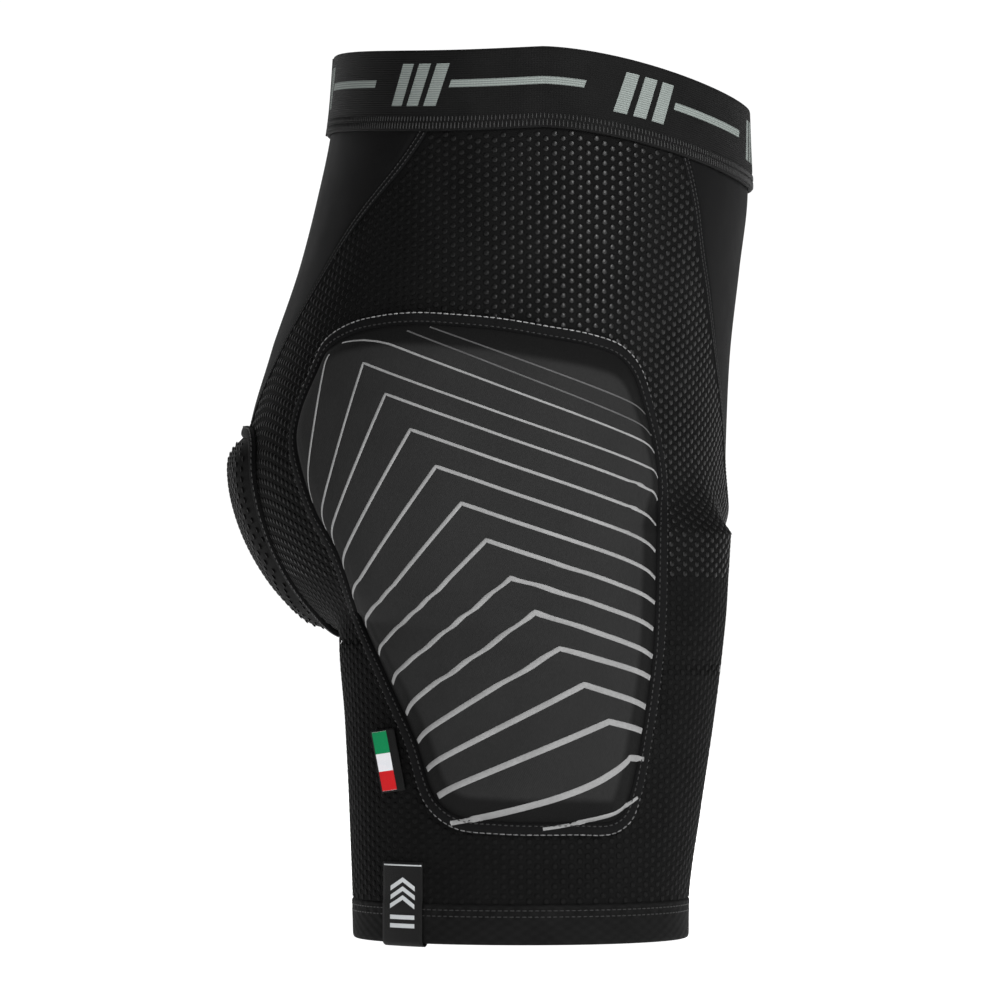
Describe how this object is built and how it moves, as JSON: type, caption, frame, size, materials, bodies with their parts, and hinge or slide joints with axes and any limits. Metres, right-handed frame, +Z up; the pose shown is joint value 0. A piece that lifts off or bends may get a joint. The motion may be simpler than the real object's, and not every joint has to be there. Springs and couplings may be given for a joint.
{
  "type": "padded impact shorts",
  "caption": "Black stretch undershorts for skiing and snowboarding with raised foam pads on both hips and the tailbone and a wide elastic waistband.",
  "frame": {"origin": "centre of the waist opening, at the mean height of the waistband's top edge", "axes": "+Z up along the wearer's body, -Y towards the wearer's front, -X towards the wearer's right side"},
  "size_m": [0.3666, 0.2805, 0.4662],
  "materials": {
    "knit": "black smooth stretch knit, matt",
    "mesh": "black stretch mesh with a raised hexagonal dot texture",
    "elastic": "wide woven waist elastic, near black, with pale grey woven marks",
    "thread": "black flat seam thread",
    "foam": "closed-cell impact foam, dark grey, soft",
    "pad_cover": "charcoal coated stretch fabric with pale printed chevrons",
    "binding": "stitched pad border, near black",
    "label": "black woven label",
    "tab": "woven tab in green, white and red bands"
  },
  "bodies": {
    "shorts": {"back_panel": "knit", "crotch_gusset": "knit", "front_panel": "knit", "hem_label": "label", "left_back_seam": "thread", "left_front_seam": "thread", "left_gusset_seam": "thread", "left_hip_foam": "foam", "left_hip_pad_binding": "binding", "left_hip_pad_cover": "pad_cover", "left_inseam": "thread", "left_leg_hem": "knit", "left_side_panel": "mesh", "right_back_seam": "thread", "right_front_seam": "thread", "right_gusset_seam": "thread", "right_hip_foam": "foam", "right_hip_pad_binding": "binding", "right_hip_pad_cover": "pad_cover", "right_inseam": "thread", "right_leg_hem": "knit", "right_side_panel": "mesh", "tailbone_foam": "foam", "tailbone_pad_binding": "binding", "tailbone_pad_cover": "mesh", "waist_seam": "thread", "waistband": "elastic"},
    "side_label": {"side_label": "tab"}
  },
  "joints": [
    {"name": "side_label_fold", "type": "hinge", "parent": "shorts", "child": "side_label", "pos_m": [-0.1508, 0.07376, -0.35611], "axis": [0.1558, 0.1818, 0.9709], "range_deg": [0, 100], "stiffness_Nm_per_rad": 0.0006}
  ]
}
